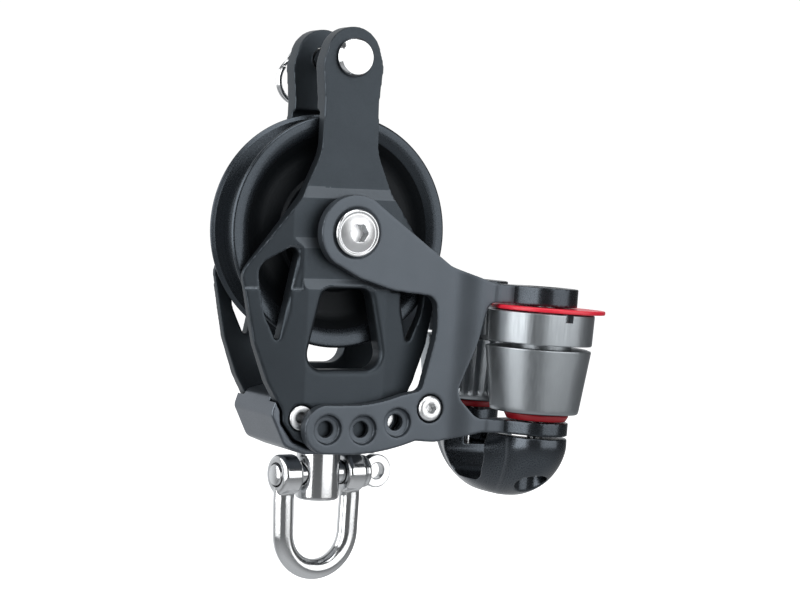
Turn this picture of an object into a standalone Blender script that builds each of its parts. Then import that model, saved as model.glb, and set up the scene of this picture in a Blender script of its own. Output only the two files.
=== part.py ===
"""Single sheave block with a becket, a swivel shackle and a cam cleat on side arms.

Sizes are in millimetres and become metres when a mesh is finished. The sheave's axis is Y, the
becket is up (+Z) and the cleat is towards +X. The world origin is the becket pin's middle.
"""

import math

import bmesh
import bpy
from mathutils import Matrix, Vector

MM = 0.001
GAP = 0.3

# Heights of the block's own features above the sheave's axis.
BECKET_Z = 45.0
HEAD_TOP_Z, HEAD_BOTTOM_Z, HEAD_HALF_WIDTH = -41.0, -57.6, 12.6
HEAD_BUSH_X, HEAD_BUSH_Z = 11.6, -48.0
HEAD_BUSH_HOLE_R, HEAD_BUSH_RECESS_R = 2.6, 3.6

# Sheave and its bearing.
SHEAVE_R, SHEAVE_HALF_WIDTH = 30.8, 8.0
GROOVE_R = 23.0
SHEAVE_BORE_R = 12.2
RACE_R, RACE_BORE_R = 9.2, 5.2
BALL_R, BALL_COUNT, BALL_ROW_Y = 1.3, 12, 3.6
AXLE_R, BOLT_HEAD_R, BOLT_SOCKET_R = 4.9, 6.1, 2.6

# Cheeks: distances from the middle plane.
CHEEK_INNER, CHEEK_FACE, CHEEK_EDGE = 8.6, 13.9, 10.8
EAR_INNER, EAR_OUTER = 6.8, 12.0
EAR_POCKET_Z, EAR_TOP_Z = 32.0, 52.9
SPINE_HALF_WIDTH = 11.0

# Becket pin and its split ring.
BECKET_PIN_R, BECKET_HEAD_R, BECKET_HEAD = 3.0, 5.1, 1.7
BECKET_PIN_END = 25.4
RING_Y, RING_R, RING_WIRE_R = 22.4, 6.1, 0.55
RING_HOLE_R, RING_LIFT = 1.8, 0.8

# Cleat arms, in a frame about the sheave's axis that leans by ARM_LEAN.
ARM_LEAN = math.radians(2.2)
ARM_INNER, ARM_OUTER = 14.5, 17.8
ARM_HUB_R = 9.8
STRAP_IN_R, STRAP_OUT_R = 44.4, 57.2
STRAP_HOLE_R, STRAP_HOLE_ANGLES = 51.0, (-4.4, 6.9, 18.2, 29.5)
TIE_R, TIE_HEAD_R, TIE_SEAT_Y = 1.8, 3.4, 16.6
CLEAT_X, CLEAT_Y = 56.6, 19.0
LUG_R = 8.7
TOP_LUG_Z, LOW_LUG_Z = (-15.6, -10.6), (-50.0, -46.4)

# Cams.
CAM_TOP_Z, CAM_SLOT_Z, CAM_LOW_Z = -17.3, (-26.9, -25.6), -44.0
CAM_NOSE_R, CAM_THROAT_R, CAM_TAIL_R, CAM_BACK_R = 20.4, 13.9, 15.4, 13.4
CAM_BORE_R, CAM_BUSH_R, CAM_PIVOT_R = 4.6, 4.3, 2.9
CAM_POCKET_R, CAM_POCKET = 9.0, 4.6
CAP_R, CAP_BULGE = 14.2, 2.2
PIVOT_HEAD_R = 4.6

# Fairlead under the cams.
FAIRLEAD_TOP_Z, LEG_FLOOR_Z, LEG_SEAT_Z = -50.6, -56.4, -58.8
LEG_SCREW_R, LEG_SCREW_HEAD_R = 2.0, 3.7

# Swivel and shackle.
SWIVEL_TURN = math.radians(8.0)
POST_R, POST_NECK_R, POST_BOTTOM_Z = 5.8, 4.1, -71.0
SWIVEL_NUT_R, SWIVEL_NUT_Z = 6.9, (-51.2, -46.4)
SHACKLE_Z = -64.2
SHACKLE_PIN_R = 3.0
BOW_WIRE_R, BOW_HALF_GAP, BOW_EYE_R = 2.85, 7.2, 5.3
BOW_BOTTOM_Z = -89.8

ANODISED = ("anodised_dark", (0.060, 0.066, 0.075), 0.45, 0.6)
HEAD_GREY = ("anodised_grey", (0.16, 0.18, 0.20), 0.38, 0.8)
SHEAVE_DARK = ("sheave_black", (0.030, 0.033, 0.037), 0.35, 0.5)
CAM_GREY = ("cam_metal", (0.21, 0.22, 0.23), 0.34, 0.9)
STAINLESS = ("polished_stainless", (0.72, 0.73, 0.74), 0.14, 1.0)
RED_PLASTIC = ("red_plastic", (0.55, 0.02, 0.05), 0.4, 0.0)
BALL_WHITE = ("ball_plastic", (0.75, 0.74, 0.70), 0.45, 0.0)
FAIRLEAD_BLACK = ("fairlead_dark", (0.055, 0.06, 0.068), 0.3, 0.5)


def clear_scene():
    for existing in list(bpy.data.objects):
        bpy.data.objects.remove(existing, do_unlink=True)


# ---------------------------------------------------------------- outlines


def arc(centre, radius, start, end, steps):
    """Points on an arc, with the angles in degrees from +X."""
    points = []
    for i in range(steps + 1):
        angle = math.radians(start + (end - start) * i / steps)
        points.append((centre[0] + radius * math.cos(angle), centre[1] + radius * math.sin(angle)))
    return points


def rounded(corners, steps=3):
    """A closed outline from (u, v, radius) corners, with each corner turned into an arc."""
    outline = []
    count = len(corners)
    for i, (u, v, radius) in enumerate(corners):
        here = Vector((u, v))
        if radius <= 0:
            outline.append((u, v))
            continue
        back = (Vector(corners[i - 1][:2]) - here).normalized()
        ahead = (Vector(corners[(i + 1) % count][:2]) - here).normalized()
        half = back.angle(ahead) / 2
        reach = radius / math.tan(half)
        centre = here + (back + ahead).normalized() * (radius / math.sin(half))
        start = here + back * reach - centre
        turn = start.angle_signed(here + ahead * reach - centre)
        for k in range(steps + 1):
            spot = centre + Matrix.Rotation(-turn * k / steps, 2) @ start
            outline.append((spot.x, spot.y))
    return outline


def mirrored(half):
    """A whole outline from its +U half, given from the bottom up."""
    return half + [(-u, v, *rest) for u, v, *rest in reversed(half)]


def circle(centre, radius, steps):
    return arc(centre, radius, 0, 360 * (steps - 1) / steps, steps - 1)


# ---------------------------------------------------------------- solids


def material(spec):
    name, colour, roughness, metallic = spec
    made = bpy.data.materials.get(name)
    if made is None:
        made = bpy.data.materials.new(name)
        made.use_nodes = True
        shader = made.node_tree.nodes["Principled BSDF"]
        shader.inputs["Base Color"].default_value = (*colour, 1)
        shader.inputs["Roughness"].default_value = roughness
        shader.inputs["Metallic"].default_value = metallic
    return made


def solid(bm):
    """A bare mesh object in millimetres from a bmesh, with its faces turned out."""
    bmesh.ops.remove_doubles(bm, verts=bm.verts, dist=1e-4)
    bmesh.ops.recalc_face_normals(bm, faces=bm.faces)
    mesh = bpy.data.meshes.new("solid")
    bm.to_mesh(mesh)
    bm.free()
    made = bpy.data.objects.new("solid", mesh)
    bpy.context.scene.collection.objects.link(made)
    return made


def loft(rings, closed=False):
    """A skin over rings of equally many points, capped at both ends unless it closes on itself."""
    bm = bmesh.new()
    rows = [[bm.verts.new(point) for point in ring] for ring in rings]
    pairs = list(zip(rows, rows[1:]))
    if closed:
        pairs.append((rows[-1], rows[0]))
    for low, high in pairs:
        for i in range(len(low)):
            j = (i + 1) % len(low)
            bm.faces.new((low[i], low[j], high[j], high[i]))
    if not closed:
        bm.faces.new(reversed(rows[0]))
        bm.faces.new(rows[-1])
    return solid(bm)


def plate(outline, start, end, axis="Y"):
    """An outline in XZ (or YZ, or XY) pulled from start to end along the named axis."""
    spots = {
        "X": lambda u, v, w: (w, u, v),
        "Y": lambda u, v, w: (u, w, v),
        "Z": lambda u, v, w: (u, v, w),
    }[axis]
    return loft([[spots(u, v, level) for u, v in outline] for level in (start, end)])


def turned(profile, steps, axis="Z", centre=(0, 0, 0), hollow=False):
    """A profile of (radius, height) turned about an axis. Ends at radius 0 close on the axis."""
    bm = bmesh.new()
    rings = []
    for radius, height in profile:
        if radius == 0:
            rings.append([bm.verts.new((0, 0, height))] * steps)
            continue
        rings.append([bm.verts.new((u, v, height)) for u, v in circle((0, 0), radius, steps)])
    pairs = list(zip(rings, rings[1:]))
    if hollow:
        pairs.append((rings[-1], rings[0]))
    for low, high in pairs:
        for i in range(steps):
            j = (i + 1) % steps
            corners = list(dict.fromkeys((low[i], low[j], high[j], high[i])))
            if len(corners) > 2:
                bm.faces.new(corners)
    made = solid(bm)
    if axis == "Y":
        made.data.transform(Matrix.Rotation(math.pi / 2, 4, "X"))
    elif axis == "X":
        made.data.transform(Matrix.Rotation(math.pi / 2, 4, "Y"))
    made.data.transform(Matrix.Translation(centre))
    return made


def cylinder(radius, start, end, steps, axis="Z", centre=(0, 0, 0)):
    """A plain round bar. Along Y, start and end are distances towards -Y."""
    return turned([(0, start), (radius, start), (radius, end), (0, end)], steps, axis, centre)


def tube(path, radius, sides, closed=False):
    """A round wire along a path, its section carried along without twisting."""
    spots = [Vector(point) for point in path]
    count = len(spots)
    rings = []
    side = None
    for i, spot in enumerate(spots):
        after = spots[(i + 1) % count] if closed or i < count - 1 else spot
        before = spots[i - 1] if closed or i else spot
        along = (after - before).normalized()
        if side is None:
            side = along.orthogonal().normalized()
        side = (side - along * side.dot(along)).normalized()
        up = along.cross(side)
        rings.append([
            tuple(spot + side * (radius * math.cos(turn)) + up * (radius * math.sin(turn)))
            for turn in (2 * math.pi * k / sides for k in range(sides))
        ])
    return loft(rings, closed)


def combine(first, second, operation):
    """Boolean of two bare solids. The second one is used up."""
    modifier = first.modifiers.new("boolean", "BOOLEAN")
    modifier.operation = operation
    modifier.object = second
    depsgraph = bpy.context.evaluated_depsgraph_get()
    result = bpy.data.meshes.new_from_object(first.evaluated_get(depsgraph))
    first.modifiers.clear()
    first.data = result
    bpy.data.objects.remove(second, do_unlink=True)
    return first


def cut(body, *cutters):
    for cutter in cutters:
        combine(body, cutter, "DIFFERENCE")
    return body


def join(body, *others):
    for other in others:
        combine(body, other, "UNION")
    return body


def mirror_y(body):
    """The same solid reflected to the other side of the middle plane."""
    twin = body.copy()
    twin.data = body.data.copy()
    bpy.context.scene.collection.objects.link(twin)
    twin.data.transform(Matrix.Diagonal((1, -1, 1, 1)))
    twin.data.flip_normals()
    return twin


def finish(body, name, spec, pivot=(0, 0, 0), parent=None):
    """Names a solid, colours it, moves its origin to the pivot and brings it to metres."""
    body.name = name
    body.data.name = name
    body.data.transform(Matrix.Translation(-Vector(pivot)))
    body.data.transform(Matrix.Scale(MM, 4))
    body.data.materials.clear()
    body.data.materials.append(material(spec))
    body.data.shade_smooth()
    body.data.set_sharp_from_angle(angle=math.radians(35))
    body.parent = parent
    body.location = Vector(pivot) * MM
    return body


def empty(name, location=(0, 0, 0), rotation=(0, 0, 0), parent=None):
    made = bpy.data.objects.new(name, None)
    bpy.context.scene.collection.objects.link(made)
    made.location = Vector(location) * MM
    made.rotation_euler = rotation
    made.parent = parent
    return made


# ---------------------------------------------------------------- cheeks and head


def cheek_outline():
    """Ear, neck, shoulders and the foot that sits in the head block, from the bottom up."""
    foot = [(9.0, -55.2, 0), (13.0, -53.6, 2.0), (16.4, -49.2, 1.5), (16.6, -46.2, 1.5)]
    flank = [(20.8, -39.0, 6), (24.6, -29.0, 14), (28.3, -11.0, 4.5), (13.0, 9.0, 12)]
    ear = [(8.0, 20.5, 14), (7.7, 34.0, 0)]
    right = foot + flank + ear
    outline = mirrored(right)
    shape = rounded(outline)
    top_index = len(shape) // 2
    half_ear = [(8.45, 41.9), (8.5, 42.9), (8.3, 44.0)] + arc((0, EAR_TOP_Z - 7.6), 7.6, 22, 90, 6)
    dome = half_ear + [(-u, v) for u, v in reversed(half_ear[:-1])]
    return shape[:top_index] + dome + shape[top_index:]


def side_window(side):
    corners = [(13.0, -2.6, 1.8), (18.5, -29.6, 0.7), (22.6, -21.0, 8), (24.2, -9.0, 4.5)]
    corners = [(side * u, v, radius) for u, v, radius in corners]
    return rounded(corners)


def centre_window():
    half = [(11.4, -35.6, 4.2), (6.6, -14.6, 3.0)]
    return rounded(mirrored(half))


def make_cheek():
    """The cheek on the -Y side: thick along its spine, thin at its flanks."""
    body = plate(cheek_outline(), -CHEEK_FACE, -EAR_INNER)
    reach = 40.0
    slope = (CHEEK_FACE - CHEEK_EDGE) / (28.0 - SPINE_HALF_WIDTH)
    for side in (-1, 1):
        wedge = [
            (side * SPINE_HALF_WIDTH, -CHEEK_FACE),
            (side * reach, -CHEEK_FACE + slope * (reach - SPINE_HALF_WIDTH)),
            (side * reach, -CHEEK_FACE - 2),
            (side * SPINE_HALF_WIDTH, -CHEEK_FACE - 2),
        ]
        cut(body, plate(wedge, -70, 14, axis="Z"))
    ear_relief = [(-EAR_OUTER, 60), (-EAR_OUTER, 11.8), (-13.2, 10.6), (-13.2, -2.4),
                  (-20, -2.4), (-20, 60)]
    cut(body, plate(ear_relief, -reach, reach, axis="X"))
    pocket = [(-CHEEK_INNER, -60), (-CHEEK_INNER, EAR_POCKET_Z - 1.4), (-EAR_INNER + 1, EAR_POCKET_Z),
              (0, EAR_POCKET_Z), (0, -60)]
    cut(body, plate(pocket, -reach, reach, axis="X"))
    for window in (side_window(-1), side_window(1), centre_window()):
        cut(body, plate(window, -20, 0))
    cut(body, cylinder(AXLE_R + GAP, 0, 20, 24, axis="Y"))
    cut(body, cylinder(BECKET_PIN_R + GAP, 0, 20, 20, axis="Y", centre=(0, 0, BECKET_Z)))
    for side in (-1, 1):
        spot = (side * HEAD_BUSH_X, 0, HEAD_BUSH_Z)
        cut(body, cylinder(HEAD_BUSH_HOLE_R, 0, 20, 16, axis="Y", centre=spot))
        cut(body, cylinder(HEAD_BUSH_RECESS_R, CHEEK_FACE - 1.1, 20, 20, axis="Y", centre=spot))
    return body


def make_head_block():
    """Holds the swivel post, with lips that wrap the cheeks' feet."""
    half = [(10.0, HEAD_BOTTOM_Z, 0), (15.6, -55.4, 2.5), (19.6, -47.2, 2.0),
            (18.0, -42.4, 2.5), (12.0, HEAD_TOP_Z, 2.0)]
    body = plate(rounded(mirrored(half)), -HEAD_HALF_WIDTH, HEAD_HALF_WIDTH)
    half_foot = [(9.2, -55.8), (13.4, -54.1), (16.9, -49.5), (17.1, -46.3), (21.6, -38.6), (24, -30)]
    foot = mirrored(half_foot)
    for side in (-1, 1):
        cut(body, plate(foot, side * (CHEEK_INNER - GAP), side * 20))
    bore, nut_pocket, shoulder = POST_NECK_R + GAP, SWIVEL_NUT_R + GAP, SWIVEL_NUT_Z[0] - GAP
    cut(body, turned([(0, -60), (bore, -60), (bore, shoulder), (nut_pocket, shoulder),
                      (nut_pocket, -35), (0, -35)], 24))
    for side in (-1, 1):
        spot = (side * HEAD_BUSH_X, 0, HEAD_BUSH_Z)
        cut(body, cylinder(HEAD_BUSH_HOLE_R, -20, 20, 16, axis="Y", centre=spot))
    return body


def make_head_bush():
    """A flanged tube through both cheeks and the head block."""
    face = CHEEK_FACE - 0.8
    half = [(2.3, face), (3.2, face), (3.2, face + 0.7), (1.5, face + 0.7)]
    profile = half + [(r, -y) for r, y in reversed(half)]
    return turned(profile, 20, axis="Y", centre=(HEAD_BUSH_X, 0, HEAD_BUSH_Z), hollow=True)


# ---------------------------------------------------------------- sheave and bearing


def make_sheave():
    """Thick rounded lips, a round groove and dished side faces."""
    rim = SHEAVE_HALF_WIDTH
    half = [
        (SHEAVE_BORE_R, 5.0), (15.0, 5.0), (16.0, 4.2), (23.8, 4.2), (26.2, rim - 0.6), (27.4, rim),
        (28.8, rim), (30.2, rim - 0.5), (SHEAVE_R, rim - 1.4), (30.0, 5.9), (26.6, 4.6), (24.2, 3.0),
    ]
    profile = half + [(GROOVE_R, 0)] + [(r, -y) for r, y in reversed(half)]
    return turned(profile, 40, axis="Y", hollow=True)


def make_ball_race(side):
    """A cage ring with its row of balls in it, made one solid."""
    middle = (RACE_R + SHEAVE_BORE_R) / 2
    y = side * BALL_ROW_Y
    inner, outer, near, far = middle - 0.7, middle + 0.7, y - 0.8, y + 0.8
    cage = turned([(inner, near), (outer, near), (outer, far), (inner, far)],
                  BALL_COUNT * 2, axis="Y", hollow=True)
    for i in range(BALL_COUNT):
        angle = 2 * math.pi * (i + 0.5) / BALL_COUNT
        spot = (middle * math.cos(angle), -y, middle * math.sin(angle))
        join(cage, turned([(0, -BALL_R), (BALL_R, 0), (0, BALL_R)], 6, centre=spot))
    return cage


def make_inner_race():
    half, shoulder = CHEEK_INNER - GAP, CHEEK_INNER - 2.3
    return turned([(RACE_BORE_R, -half), (RACE_R - 1.6, -half), (RACE_R, -shoulder), (RACE_R, shoulder),
                   (RACE_R - 1.6, half), (RACE_BORE_R, half)], 28, axis="Y", hollow=True)


def make_centre_bolt():
    """Dome head with a hexagon socket outside the near arm, and a shank through to the far nut."""
    seat, face, far = ARM_OUTER + GAP, ARM_OUTER + 1.6, -ARM_OUTER - 0.4
    head = [(0, face), (4.6, face), (6.0, seat + 0.6), (BOLT_HEAD_R, seat), (AXLE_R, seat),
            (AXLE_R, far), (0, far)]
    body = turned(head, 24, axis="Y")
    return cut(body, plate(circle((0, 0), BOLT_SOCKET_R, 6), -face - 1, -ARM_OUTER + 1.4))


def make_centre_nut():
    """Flat round nut with a hexagon socket on the far arm."""
    seat = ARM_OUTER + 0.7
    body = turned([(0, -seat), (BOLT_HEAD_R, -seat), (6.0, -seat - 0.9), (4.6, -seat - 1.3),
                   (0, -seat - 1.3)], 24, axis="Y")
    return cut(body, plate(circle((0, 0), BOLT_SOCKET_R, 6), seat + 0.5, seat + 4))


# ---------------------------------------------------------------- becket


def make_becket_pin():
    near = EAR_OUTER + GAP
    profile = [
        (0, near + BECKET_HEAD), (BECKET_HEAD_R - 0.5, near + BECKET_HEAD), (BECKET_HEAD_R, near + 0.6),
        (BECKET_HEAD_R, near), (BECKET_PIN_R, near), (BECKET_PIN_R, -BECKET_PIN_END + 0.8),
        (BECKET_PIN_R - 0.8, -BECKET_PIN_END), (0, -BECKET_PIN_END),
    ]
    body = turned(profile, 24, axis="Y", centre=(0, 0, BECKET_Z))
    return cut(body, cylinder(RING_HOLE_R, -8, 8, 14, axis="X", centre=(0, RING_Y, BECKET_Z)))


def make_split_ring():
    """Nearly two turns of wire. The single strand at the top hangs in the pin's cross hole."""
    turns, points = 1.7, 36
    middle = BECKET_Z + RING_LIFT - RING_R
    path = []
    for i in range(points + 1):
        angle = 2 * math.pi * turns * i / points + math.radians(144)
        spread = (i / points - 0.5) * 2 * RING_WIRE_R * 1.25 * turns
        path.append((RING_R * math.cos(angle), RING_Y + spread, middle + RING_R * math.sin(angle)))
    return tube(path, RING_WIRE_R, 5)


# ---------------------------------------------------------------- cleat arms


def polar(radius, degrees):
    """A point at a radius from the sheave's axis, at an angle from straight down towards +X."""
    angle = math.radians(degrees)
    return radius * math.sin(angle), -radius * math.cos(angle)


def arm_outline():
    """Round hub, upper limb, web and the strap that curves back under the cheek."""
    hub = arc((0, 0), ARM_HUB_R, 235, 50, 10)
    top_low, top_high = TOP_LUG_Z
    foot_low, foot_high = LOW_LUG_Z
    strap_x, strap_z = polar(STRAP_OUT_R, 22)
    upper = rounded([(12.0, 3.2, 16), (27.0, -6.4, 22), (41.0, top_high, 18), (47.5, top_high, 0),
                     (47.5, top_low, 0), (39.4, top_low, 2.5), (37.0, -26.0, 20), (32.2, -40.5, 5),
                     (38.0, foot_high, 5), (47.5, foot_high, 0), (47.5, foot_low, 0),
                     (40.0, foot_low, 8), (27.5, -53.2, 10), (strap_x, strap_z, 0)])[6:]
    end_x, end_z = polar(STRAP_HOLE_R, STRAP_HOLE_ANGLES[0])
    outer = [polar(STRAP_OUT_R, a) for a in (15, 8, 2)]
    end = arc((end_x, end_z), (STRAP_OUT_R - STRAP_IN_R) / 2, 265, 95, 8)
    inner = [polar(STRAP_IN_R, a) for a in (0, 6, 12, 18, 23)]
    window = rounded([(18.0, -41.2, 0), (22.3, -39.6, 2.5), (25.6, -24.0, 20), (24.6, -15.0, 3.5),
                      (12.0, -14.2, 20), (2.0, -11.6, 0), (2.0, -30.0, 0)])[1:-1]
    return hub + upper + outer + end + inner + window


def make_arm():
    """The arm on the -Y side, with its lugs, spot faces and row of angle holes."""
    body = plate(arm_outline(), -ARM_OUTER, -ARM_INNER)
    for low, high in (TOP_LUG_Z, LOW_LUG_Z):
        join(body, cylinder(LUG_R, low, high, 22, centre=(CLEAT_X, -CLEAT_Y, 0)))
        neck = [(41.0, -ARM_INNER), (41.0, -ARM_OUTER), (49.0, -23.6), (53, -22), (53, -14.0), (50.0, -12.6)]
        join(body, plate(neck, low, high, axis="Z"))
    for low, high in (TOP_LUG_Z, LOW_LUG_Z):
        cut(body, cylinder(CAM_PIVOT_R + GAP, low - 1, high + 1, 16, centre=(CLEAT_X, -CLEAT_Y, 0)))
    top, sink = TOP_LUG_Z[1], PIVOT_HEAD_R + 0.4
    countersink = [(0, top + 1), (sink, top + 1), (sink, top - 1.0), (CAM_PIVOT_R, top - 3.0), (0, top - 3.0)]
    cut(body, turned(countersink, 18, centre=(CLEAT_X, -CLEAT_Y, 0)))
    cut(body, cylinder(AXLE_R + GAP, 10, 25, 20, axis="Y"))
    for angle in STRAP_HOLE_ANGLES:
        x, z = polar(STRAP_HOLE_R, angle)
        cut(body, cylinder(TIE_R + GAP, 10, 25, 10, axis="Y", centre=(x, 0, z)))
        cut(body, cylinder(TIE_HEAD_R + 0.4, ARM_OUTER - 1.5, 25, 14, axis="Y", centre=(x, 0, z)))
    return body


def make_tie_bolt():
    x, z = polar(STRAP_HOLE_R, STRAP_HOLE_ANGLES[3])
    face = TIE_SEAT_Y + 1.8
    profile = [(0, face), (TIE_HEAD_R - 0.7, face), (TIE_HEAD_R, face - 0.8), (TIE_HEAD_R, TIE_SEAT_Y),
               (TIE_R, TIE_SEAT_Y), (TIE_R, -TIE_SEAT_Y), (0, -TIE_SEAT_Y)]
    body = turned(profile, 20, axis="Y", centre=(x, 0, z))
    return cut(body, plate(circle((x, z), 1.4, 6), -face - 1, -TIE_SEAT_Y + 0.2))


def make_tie_nut():
    x, z = polar(STRAP_HOLE_R, STRAP_HOLE_ANGLES[3])
    low = TIE_SEAT_Y + GAP
    profile = [(0, -low), (TIE_HEAD_R, -low), (TIE_HEAD_R, -low - 0.7), (TIE_HEAD_R - 0.7, -low - 1.3),
               (0, -low - 1.3)]
    return turned(profile, 20, axis="Y", centre=(x, 0, z))


def make_tie_spacer():
    x, z = polar(STRAP_HOLE_R, STRAP_HOLE_ANGLES[3])
    half, bore, outside = ARM_INNER - GAP, TIE_R + 0.4, TIE_HEAD_R
    return turned([(bore, -half), (outside, -half), (outside, half), (bore, half)], 20, axis="Y",
                  centre=(x, 0, z), hollow=True)


# ---------------------------------------------------------------- cams


def eased(start, end, share):
    """A value that moves smoothly from start to end as share goes from 0 to 1."""
    share = max(0.0, min(1.0, share))
    return start + (end - start) * share * share * (3 - 2 * share)


def cam_reach(degrees):
    """The cam's radius about its pivot. 90 degrees faces the other cam, 180 faces the sheave."""
    if degrees < 58:
        return eased(CAM_BACK_R, CAM_NOSE_R, (degrees + 20) / 78)
    if degrees < 135:
        return eased(CAM_NOSE_R, CAM_THROAT_R, (degrees - 30) / 120)
    if degrees < 220:
        return eased(CAM_THROAT_R, CAM_TAIL_R, (degrees - 135) / 30)
    return eased(CAM_TAIL_R, CAM_BACK_R, (degrees - 220) / 60)


def cam_ring(scale, height, teeth):
    """One level of the cam: the toothed spiral, then the smooth back."""
    points = []
    steps = 60
    for i in range(steps):
        degrees = i * 360 / steps
        if degrees > 340:
            degrees -= 360
        reach = cam_reach(degrees) * scale
        if teeth and 60 <= degrees <= 130 and i % 2:
            reach -= 1.3
        angle = math.radians(degrees)
        points.append((CLEAT_X + reach * math.cos(angle), -CLEAT_Y + reach * math.sin(angle), height))
    return points


def make_cam():
    """Upper flange, a slot over a round core, and the tapered toothed body under it."""
    low, high = CAM_SLOT_Z
    body = loft([cam_ring(0.82, CAM_LOW_Z, False), cam_ring(0.85, CAM_LOW_Z + 2.6, True),
                 cam_ring(1.0, low, True)])
    top = loft([cam_ring(1.0, high, True), cam_ring(1.02, CAM_TOP_Z, True)])
    core = cylinder(8.0, low - 2, high + 2, 28, centre=(CLEAT_X, -CLEAT_Y, 0))
    join(body, core, top)
    cut(body, cylinder(CAM_BORE_R, -60, 0, 24, centre=(CLEAT_X, -CLEAT_Y, 0)))
    cut(body, cylinder(CAM_POCKET_R, CAM_TOP_Z - CAM_POCKET, 0, 28, centre=(CLEAT_X, -CLEAT_Y, 0)))
    return body


def make_cam_cap():
    """Red cover disc over the cam's spring."""
    outline = []
    for degrees in range(0, 360, 10):
        bulge = max(0.0, math.cos(math.radians(degrees + 20))) ** 2
        reach = CAP_R + CAP_BULGE * bulge
        angle = math.radians(degrees)
        outline.append((CLEAT_X + reach * math.cos(angle), -CLEAT_Y + reach * math.sin(angle)))
    body = plate(outline, CAM_TOP_Z + GAP, TOP_LUG_Z[0] - GAP, axis="Z")
    return cut(body, cylinder(CAM_BORE_R, -60, 0, 24, centre=(CLEAT_X, -CLEAT_Y, 0)))


def make_cam_washer():
    bore, top, low = CAM_PIVOT_R + GAP, CAM_LOW_Z - GAP, LOW_LUG_Z[1] + GAP
    return turned([(bore, top), (8.9, top), (7.9, low), (bore, low)], 24,
                  centre=(CLEAT_X, -CLEAT_Y, 0), hollow=True)


def make_cam_bush():
    bore, low, high = CAM_PIVOT_R + GAP, CAM_LOW_Z + GAP, CAM_TOP_Z - CAM_POCKET - 0.6
    return turned([(bore, low), (CAM_BUSH_R, low), (CAM_BUSH_R, high), (bore, high)], 24,
                  centre=(CLEAT_X, -CLEAT_Y, 0), hollow=True)


def make_cam_spring():
    """Torsion spring in the pocket under the cap."""
    turns, per_turn, coil_r, rise, wire_r = 3, 12, 6.8, 2.9, 0.45
    floor = CAM_TOP_Z - CAM_POCKET
    path = []
    for i in range(turns * per_turn + 1):
        angle = 2 * math.pi * i / per_turn
        height = floor + 2 * wire_r + rise * i / (turns * per_turn)
        path.append((CLEAT_X + coil_r * math.cos(angle), -CLEAT_Y + coil_r * math.sin(angle), height))
    return tube(path, wire_r, 5)


def make_cam_pivot():
    """Countersunk screw down through the upper lug, the cam and the lower lug."""
    top, end = TOP_LUG_Z[1], LOW_LUG_Z[0] + 1.6
    profile = [(0, top - 0.3), (PIVOT_HEAD_R, top - 0.3), (PIVOT_HEAD_R, top - 0.9),
               (CAM_PIVOT_R, top - 2.6), (CAM_PIVOT_R, end), (0, end)]
    body = turned(profile, 24, centre=(CLEAT_X, -CLEAT_Y, 0))
    return cut(body, plate(circle((CLEAT_X, -CLEAT_Y), 1.9, 6), top - 2.2, top + 1, axis="Z"))


# ---------------------------------------------------------------- fairlead


def bowl_ring(half_length, radius, waist, height, steps=10):
    """A round-ended outline that spans both cams, wider at its middle, at one height."""
    ring = []
    for side, start in ((-1, 180), (1, 0)):
        for i in range(steps + 1):
            angle = math.radians(start + 180 * i / steps)
            across, along = radius * math.cos(angle), side * half_length + radius * math.sin(angle)
            ring.append((CLEAT_X + across, along, height))
        for share in (0.66, 0.33, 0, -0.33, -0.66):
            edge = -side * (radius + (waist - radius) * (1 - share * share))
            ring.append((CLEAT_X + edge, side * half_length * share, height))
    return ring


def make_fairlead():
    """A flared bowl under both lugs, open from end to end for the line."""
    levels = [(0, CLEAT_Y, LUG_R, 10.5), (3, CLEAT_Y, LUG_R, 12.2), (6.0, 18.4, 8.3, 12.6),
              (9.0, 16.8, 7.8, 12.0), (12.0, 14.4, 7.0, 10.7), (14.6, 11.2, 5.9, 8.9),
              (16.5, 7.9, 4.6, 6.3), (17.4, 5.6, 3.4, 3.9)]
    body = loft([bowl_ring(length, radius, waist, FAIRLEAD_TOP_Z - drop)
                 for drop, length, radius, waist in reversed(levels)])
    tunnel = rounded(mirrored([(7.0, -64.4, 6), (11.2, -58.0, 4), (11.2, -49.0, 0)]))
    cut(body, plate(tunnel, CLEAT_X - 20, CLEAT_X + 20, axis="X"))
    for side in (-1, 1):
        cut(body, cylinder(6.2, LEG_FLOOR_Z, -40, 16, centre=(CLEAT_X, side * 15.5, 0)))
        spot = (CLEAT_X, side * CLEAT_Y, 0)
        cut(body, cylinder(LEG_SCREW_R + GAP, -75, -40, 14, centre=spot))
        cut(body, cylinder(LEG_SCREW_HEAD_R + 0.5, -75, LEG_SEAT_Z, 16, centre=spot))
    return body


def make_fairlead_screw():
    top, seat, face = LOW_LUG_Z[0] + 1.2, LEG_SEAT_Z - GAP, LEG_SEAT_Z - 2.3
    profile = [(0, top), (LEG_SCREW_R, top), (LEG_SCREW_R, seat), (LEG_SCREW_HEAD_R, seat),
               (LEG_SCREW_HEAD_R, face + 0.6), (LEG_SCREW_HEAD_R - 0.9, face), (0, face)]
    body = turned(profile, 20, centre=(CLEAT_X, -CLEAT_Y, 0))
    return cut(body, plate(circle((CLEAT_X, -CLEAT_Y), 1.4, 6), seat - 5, seat - 0.8, axis="Z"))


# ---------------------------------------------------------------- swivel and shackle


def make_swivel_post():
    """Round post with a flat-sided foot that the shackle pin goes through."""
    shoulder = HEAD_BOTTOM_Z - GAP
    profile = [(0, -44.6), (POST_NECK_R, -44.6), (POST_NECK_R, shoulder),
               (POST_R - 0.5, shoulder), (POST_R, shoulder - 0.6),
               (POST_R, POST_BOTTOM_Z + 0.8), (POST_R - 0.8, POST_BOTTOM_Z), (0, POST_BOTTOM_Z)]
    body = turned(profile, 24)
    return cut(body, cylinder(SHACKLE_PIN_R + GAP, -20, 20, 16, axis="X", centre=(0, 0, SHACKLE_Z)))


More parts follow.
